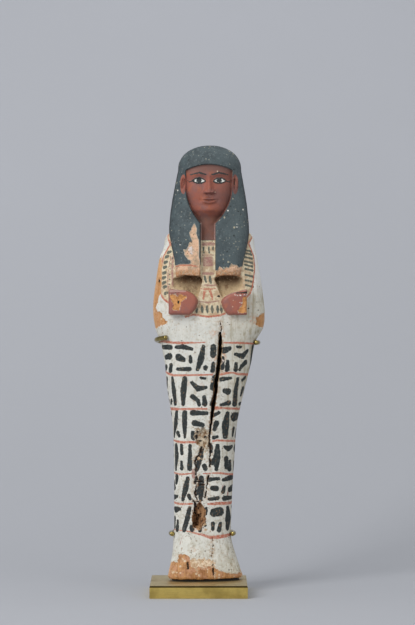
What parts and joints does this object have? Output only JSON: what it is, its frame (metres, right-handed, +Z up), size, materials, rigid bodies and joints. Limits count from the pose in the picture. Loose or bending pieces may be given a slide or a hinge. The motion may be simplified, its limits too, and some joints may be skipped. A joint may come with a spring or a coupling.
{
  "type": "ushabti figurine",
  "caption": "Mummy-shaped tomb figurine of painted, gessoed wood with a long wig and crossed fists, standing on a brass plate, held from behind by a bar with wire clips.",
  "frame": {"origin": "centre of the plate's underside", "axes": "+Z up along the figure's height, the figure faces -Y, +X to the viewer's right"},
  "size_m": [0.0572, 0.048, 0.2233],
  "materials": {
    "painted_wood": "gesso and matt paint on carved wood: off-white body, dark wig, red-brown face and hands, bare wood where the paint is lost",
    "dark_felt": "thin dark felt",
    "satin_brass": "brushed, lightly tarnished brass",
    "wire_brass": "bent brass wire, slightly dulled"
  },
  "bodies": {
    "root": {"ushabti_figure": "painted_wood", "felt_pad": "dark_felt", "base_plate": "satin_brass", "upright": "satin_brass", "upper_clip": "wire_brass", "lower_clip": "wire_brass"}
  },
  "joints": []
}
